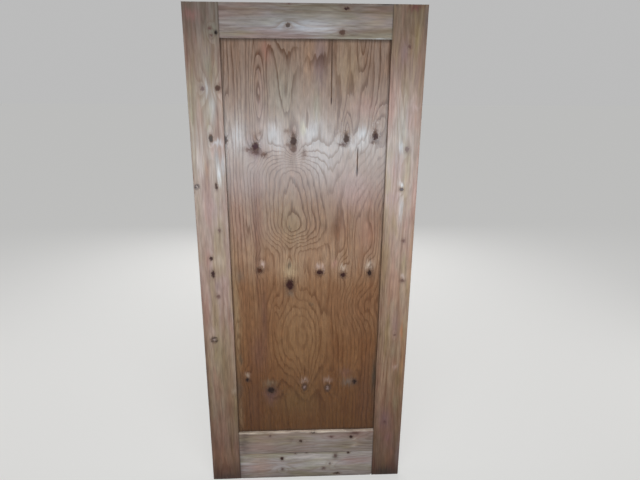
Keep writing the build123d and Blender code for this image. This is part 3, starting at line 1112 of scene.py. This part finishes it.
top_rail_pine = sawn_pine(
    "top_rail_pine", TOP_RAIL_TONES, TOP_RAIL_KNOTS, TOP_RAIL_FAINT_KNOTS, [], TOP_RAIL_STAINS_AND_SHEEN,
    end_seams(1925, 80), upright=False, pith=(1935, 110), offset=(2.2, 0.0, 0.4),
)
top_net = rail_net(
    "top_rail", TOP_RAIL_LOW, HEIGHT, TOP_RAIL_DOWELS, TOP_RAIL_KNOTS, seed=61, low_rub=0.3, high_rub=0.6
)
finished_board(top_net, "top_rail_board", "top_rail", [top_rail_pine])


# The bottom rail: two pine boards, one on the other, joined along their edges by a tongue and a groove,
# so that together they make one deep rail. Each is held by its own tenons and dowels. The lower right
# corner was knocked off, and its ends are darker. The top edge of the upper board carries a painted
# highlight, the lower board a pale streak that is partly painted highlight, and its foot dirt with painted
# shade.
EDGE_JOINT = in_mm(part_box("bottom_rail_upper_board")[0].z)
UPPER_BOARD_DOWELS, LOWER_BOARD_DOWELS = (162, 204.5), (28, 106)
UPPER_BOARD_TONES = [
    (0.070, (0.345, 0.295, 0.272)),
    (0.095, (0.358, 0.298, 0.268)),
    (0.120, (0.375, 0.300, 0.260)),
]
# Colours up the lower board, at shares of two metres: the darker foot is dirt and painted shade
LOWER_BOARD_TONES = [
    (0.004, (0.340, 0.295, 0.285)),
    (0.035, (0.520, 0.475, 0.485)),
    (0.062, (0.465, 0.420, 0.410)),
]
UPPER_BOARD_KNOTS = [
    (-25, 197, 6, 5, DUSK_BROWN),
    (28, 239, 9, 3, DRY_GREY),
    (198, 213, 7, 6, OXBLOOD),
]
UPPER_BOARD_FAINT_KNOTS = [
    (-160, 228, 6, 6),
    (110, 215, 7, 6),
    (215, 232, 22, 8),
]
UPPER_BOARD_STAINS_AND_HIGHLIGHT = [
    (-275, 190, 20, 60, DARK_STAIN_AND_SHADE, 0.60),
    (215, 200, 10, 8, PALE_WOOD, 0.55),
    (215, 168, 12, 8, PALE_WOOD, 0.55),
    (285, 190, 26, 70, (0.24, 0.20, 0.18), 0.50),
    (-190, 190, 60, 40, (0.44, 0.29, 0.23), 0.45),
    (60, 180, 90, 26, (0.42, 0.34, 0.33), 0.40),
    (80, 195, 70, 40, (0.48, 0.44, 0.46), 0.30),
    # Painted highlight: the bright top edge of the board, lit from above
    (20, 246, 420, 4.6, (0.97, 0.83, 0.70), 0.98),
]
LOWER_BOARD_KNOTS = [
    (-110, 104, 6, 7, OXBLOOD),
    (137, 15, 12, 4, DUSK_BROWN),
    (188, 127, 5, 4, DUSK_BROWN),
]
LOWER_BOARD_FAINT_KNOTS = [
    (-108, 45, 7, 8),
    (78, 45, 9, 8),
    (-50, 130, 6, 4),
    (0, 131, 6, 4),
    (105, 70, 5, 6),
    (130, 112, 8, 13),
]
LOWER_BOARD_STAINS_HIGHLIGHT_AND_SHADE = [
    # A pale streak of the wood, partly painted highlight below the edge joint
    (5, 111, 105, 12, (0.74, 0.70, 0.68), 0.70),
    (-205, 70, 44, 60, (0.52, 0.34, 0.25), 0.50),
    (100, 84, 60, 40, (0.70, 0.66, 0.67), 0.35),
    (215, 80, 74, 22, (0.38, 0.22, 0.21), 0.45),
    (250, 40, 60, 60, (0.34, 0.28, 0.26), 0.40),
    (-20, 20, 90, 14, OLIVE_WOOD, 0.30),
    (130, 108, 20, 20, GREEN_GREY, 0.50),
    (-300, 70, 16, 90, DARK_STAIN_AND_SHADE, 0.40),
    # Dirt and painted shade along the foot
    (0, 0, 420, 8, DARK_STAIN_AND_SHADE, 0.45),
]
EDGE_SEAM = (15, EDGE_JOINT, 240, 2.0)

upper_board_pine = sawn_pine(
    "upper_board_pine", UPPER_BOARD_TONES, UPPER_BOARD_KNOTS, UPPER_BOARD_FAINT_KNOTS, [],
    UPPER_BOARD_STAINS_AND_HIGHLIGHT, end_seams(190, 120) + [EDGE_SEAM], upright=False, pith=(205, 120),
    offset=(7.1, 0.0, 3.3),
)
upper_net = rail_net(
    "bottom_rail_upper_board", EDGE_JOINT, LEDGE, UPPER_BOARD_DOWELS, UPPER_BOARD_KNOTS,
    seed=91, low_rub=0.5, high_rub=0.4,
)
finished_board(upper_net, "upper_rail_board", "bottom_rail_upper_board", [upper_board_pine])
lower_board_pine = sawn_pine(
    "lower_board_pine", LOWER_BOARD_TONES, LOWER_BOARD_KNOTS, LOWER_BOARD_FAINT_KNOTS, [],
    LOWER_BOARD_STAINS_HIGHLIGHT_AND_SHADE, end_seams(60, 140) + [EDGE_SEAM], upright=False, pith=(60, 90),
    offset=(3.4, 0.0, 8.8),
)
lower_net = rail_net(
    "bottom_rail_lower_board", 0, EDGE_JOINT, LOWER_BOARD_DOWELS,
    LOWER_BOARD_KNOTS + LOWER_BOARD_FAINT_KNOTS, seed=121, low_rub=0.9, high_rub=0.5,
)
finished_board(lower_net, "lower_rail_board", "bottom_rail_lower_board", [lower_board_pine])


# The dowels: twelve fluted beech pins, two in each end of each rail board, glued into bores shared with
# the stile. They are not varnished, and their flutes let the glue and the air out of the bores.
DOWEL_BEECH, BEECH_FIBRE, BEECH_FLECK = (0.52, 0.35, 0.22), (0.42, 0.27, 0.16), (0.33, 0.20, 0.12)
BEECH_RELIEF = 0.08 * MM


def raw_beech():
    """Bare beech, with its fibres and short dark flecks along the dowel."""
    finish, shader, place = new_finish("dowel_beech_wood")
    fibres = grain_noise(place, (30, 900, 900), (0, 0, 0), detail=3.0)
    flecks = grain_noise(place, (160, 1500, 1500), (3, 3, 3), detail=1.0)
    body = tinted(shaped(fibres, 0.3, 0.75), DOWEL_BEECH, BEECH_FIBRE)
    body = tinted(shaped(flecks, 0.62, 0.70), body, BEECH_FLECK)
    roughness = scaled(fibres, 0.2, 0.5)
    normal = lifted(fibres, BEECH_RELIEF)
    joined(shader, {"Base Color": body, "Roughness": roughness, "Normal": normal})
    return finish


beech = raw_beech()
for node_name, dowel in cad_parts.items():
    if "_dowel_" in node_name:
        dowel.data.materials.clear()
        dowel.data.materials.append(beech)


# The floor and the light: a pale floor, and one long soft lamp low in front of the leaf, whose reflection
# makes the pale band across the varnish, together with the sheen painted into the wood's colour. A large
# lamp hangs overhead, one stands behind and one at each side, and a little light comes from all round.
FLOOR_COLOUR, FLOOR_PALE, FLOOR_SHARE = (0.72, 0.71, 0.69), (0.90, 0.90, 0.89), 0.52
FLOOR_REACH, FLOOR_ROUGHNESS = 20.0, 0.9
SKY_LIGHT, SKY_SEEN = 0.10, 0.50
WHITE = (1.0, 1.0, 1.0)
# Lamps: name, width, height, place, what it is turned to, brightness, colour, spread in degrees
LAMPS = [
    ("front_lamp", 1.8, 0.45, (0, -1.5, 1.23), (0, 0, 1.23), 4.9, (0.88, 0.98, 1.06), 140),
    ("top_lamp", 3.0, 1.5, (0, -2.6, 3.6), (0, 0, 1.0), 2.6, (1.06, 1.0, 0.92), 180),
    ("back_lamp", 3.0, 2.0, (0, 3.2, 2.0), (0, 0, 0.9), 3.6, WHITE, 180),
    ("side_lamp", 1.0, 2.0, (-3.0, 0.4, 1.4), (0, 0, 1.0), 2.2, WHITE, 180),
    ("side_lamp", 1.0, 2.0, (3.0, 0.4, 1.4), (0, 0, 1.0), 2.2, WHITE, 180),
]

for name, width, height, place, aim, brightness, colour, spread in LAMPS:
    light = bpy.data.lights.new(name, "AREA")
    light.shape = "RECTANGLE"
    light.size, light.size_y = width, height
    light.energy = brightness * width * height * pi
    light.color = colour
    light.spread = radians(spread)
    lamp = placed(name, light)
    lamp.location = place
    lamp.rotation_euler = (Vector(aim) - Vector(place)).to_track_quat("-Z", "Y").to_euler()

floor_net = bmesh.new()
bmesh.ops.create_grid(floor_net, x_segments=1, y_segments=1, size=FLOOR_REACH)
floor_mesh = bpy.data.meshes.new("floor")
floor_net.to_mesh(floor_mesh)
floor_net.free()
floor = placed("floor", floor_mesh)
floor_paint = bpy.data.materials.new("floor_paint")
floor_paint.use_nodes = True
paint = floor_paint.node_tree
lit = paint.nodes["Principled BSDF"]
joined(lit, {"Base Color": (*FLOOR_COLOUR, 1), "Roughness": FLOOR_ROUGHNESS})
pale = joined(paint.nodes.new("ShaderNodeEmission"), {"Color": (*FLOOR_PALE, 1)})
both = new_node("ShaderNodeMixShader", {1: lit.outputs[0], 2: pale.outputs[0]})
rays = paint.nodes.new("ShaderNodeLightPath")
joined(both, {0: times(rays.outputs["Is Camera Ray"], FLOOR_SHARE)})
joined(paint.nodes["Material Output"], {"Surface": both.outputs[0]})
floor_mesh.materials.append(floor_paint)

surroundings = bpy.data.worlds.new("surroundings")
bpy.context.scene.world = surroundings
surroundings.use_nodes = True
sky = surroundings.node_tree
background = sky.nodes["Background"]
rays = sky.nodes.new("ShaderNodeLightPath")
seen = maths("MAXIMUM", rays.outputs["Is Camera Ray"], rays.outputs["Is Transmission Ray"])
strength = scaled(seen, SKY_SEEN - SKY_LIGHT, SKY_LIGHT)
joined(background, {"Color": (1, 1, 1, 1), "Strength": strength})

bpy.context.scene.view_settings.view_transform = "Standard"
